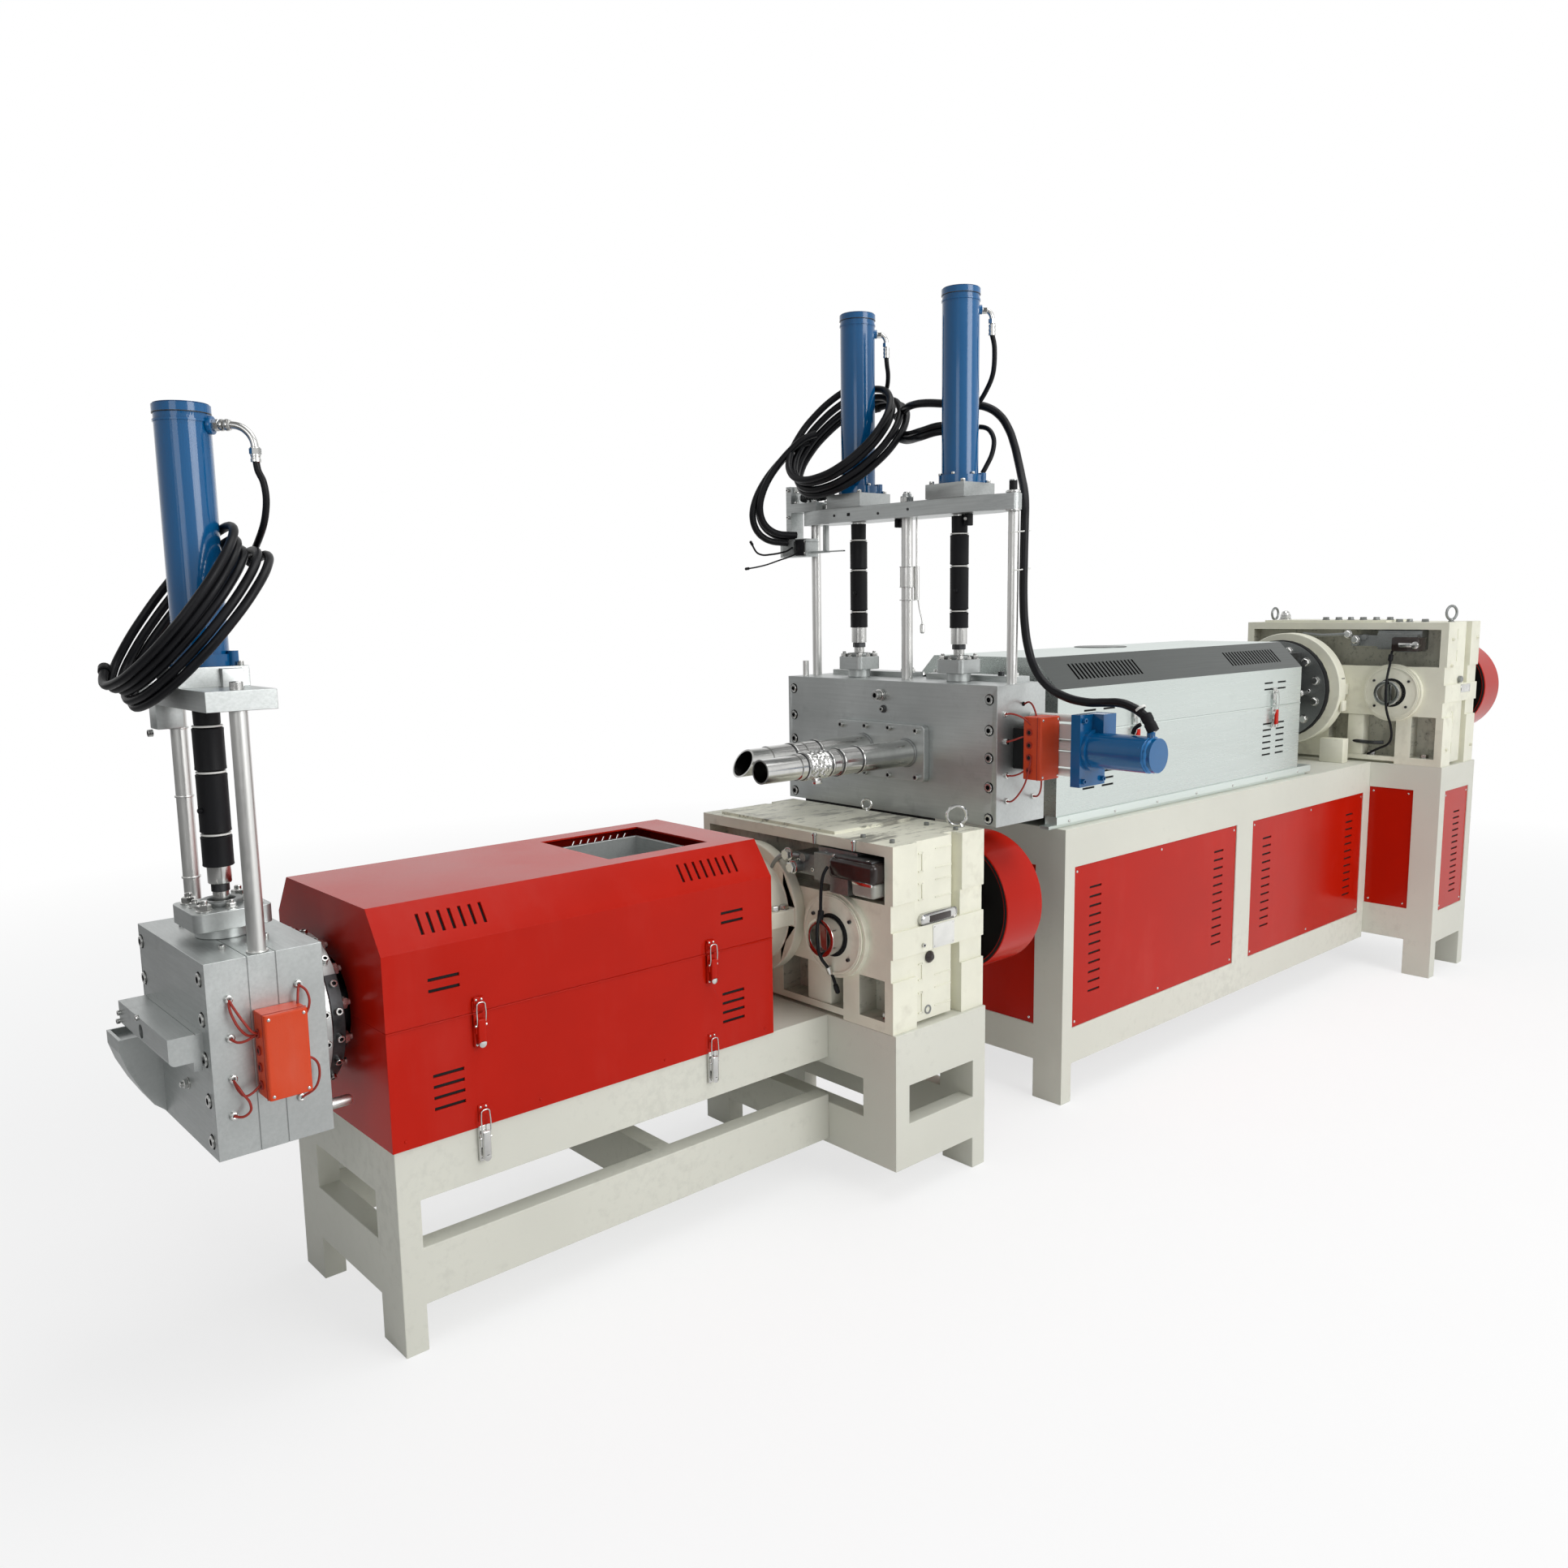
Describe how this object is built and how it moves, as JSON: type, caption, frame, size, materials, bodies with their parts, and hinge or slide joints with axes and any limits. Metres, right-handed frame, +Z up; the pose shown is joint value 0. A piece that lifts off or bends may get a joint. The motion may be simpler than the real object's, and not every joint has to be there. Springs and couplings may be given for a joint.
{
  "type": "two-stage plastic recycling extruder",
  "caption": "Two-stage plastic recycling extruder line: a long main extruder with screen changer and outlet pipes feeds a shorter second extruder with its own screen changer and die.",
  "frame": {"origin": "on the floor, under the middle of the machine's outline", "axes": "+X along both barrels, from the die end of the second stage to the drive pulley of the main stage; +Y to the back, away from the side cylinder; +Z up"},
  "size_m": [5.029, 1.2848, 2.3105],
  "materials": {
    "frame_paint": "satin grey-green frame paint",
    "red_paint": "semi-gloss red paint",
    "cream_paint": "cream machine paint",
    "brushed_steel": "brushed and ground steel",
    "dark_steel": "dark heat-stained steel",
    "chromed_steel": "polished chromed steel",
    "blue_paint": "gloss blue cylinder paint",
    "orange_paint": "orange enamel",
    "black_rubber": "black rubber hose",
    "white_paint": "white painted steel"
  },
  "bodies": {
    "line": {"second_frame": "frame_paint", "second_gearbox_stand": "frame_paint", "second_cover_base": "red_paint", "second_cover_latches": "chromed_steel", "second_barrel": "dark_steel", "second_gearbox": "cream_paint", "second_adapter": "cream_paint", "second_oil_pump": "brushed_steel", "second_screen_block": "brushed_steel", "second_die_head": "brushed_steel", "terminal_boxes": "orange_paint", "second_guide_rods": "chromed_steel", "second_crosshead": "brushed_steel", "second_cylinder": "blue_paint", "glands": "brushed_steel", "main_frame": "frame_paint", "main_gearbox_stand": "frame_paint", "main_side_panels": "red_paint", "main_cover_sill": "brushed_steel", "main_cover_base": "brushed_steel", "main_barrel": "dark_steel", "main_adapter": "cream_paint", "main_gearbox": "cream_paint", "main_oil_pump": "brushed_steel", "main_screen_block": "brushed_steel", "outlet_plate": "brushed_steel", "outlet_pipes": "chromed_steel", "main_guide_rods": "chromed_steel", "main_crosshead": "brushed_steel", "main_cylinders": "blue_paint", "valve_block": "brushed_steel", "side_spacers": "white_paint", "side_cylinder": "blue_paint", "hose_fittings": "chromed_steel", "second_hose": "black_rubber", "far_hose": "black_rubber", "near_hose": "black_rubber", "side_hose": "black_rubber"},
    "second_lid": {"second_cover_lid": "red_paint"},
    "main_lid": {"main_cover_lid": "brushed_steel"},
    "second_pulley": {"second_pulley": "red_paint"},
    "main_pulley": {"main_pulley": "red_paint"},
    "second_ram": {"second_ram": "chromed_steel", "second_ram_sleeve": "black_rubber"},
    "near_ram": {"near_ram": "chromed_steel", "near_ram_sleeve": "black_rubber"},
    "far_ram": {"far_ram": "chromed_steel", "far_ram_sleeve": "black_rubber"}
  },
  "joints": [
    {"name": "second_lid_hinge", "type": "hinge", "parent": "line", "child": "second_lid", "pos_m": [-1.6325, 0.5585, 0.686], "axis": [-1, 0, 0], "range_deg": [0, 100]},
    {"name": "main_lid_hinge", "type": "hinge", "parent": "line", "child": "main_lid", "pos_m": [0.5675, 0.4595, 1.115], "axis": [-1, 0, 0], "range_deg": [0, 100]},
    {"name": "second_pulley_spin", "type": "hinge", "parent": "line", "child": "second_pulley", "pos_m": [-0.5325, -0.0155, 0.665], "axis": [1, 0, 0], "continuous": true},
    {"name": "main_pulley_spin", "type": "hinge", "parent": "line", "child": "main_pulley", "pos_m": [2.3675, -0.2085, 1.122], "axis": [1, 0, 0], "continuous": true},
    {"name": "second_ram_slide", "type": "slide", "parent": "line", "child": "second_ram", "axis": [0, 0, 1], "range_m": [-0.028, 0]},
    {"name": "near_ram_slide", "type": "slide", "parent": "line", "child": "near_ram", "axis": [0, 0, 1], "range_m": [-0.05, 0]},
    {"name": "far_ram_slide", "type": "slide", "parent": "line", "child": "far_ram", "axis": [0, 0, 1], "range_m": [-0.05, 0]}
  ]
}
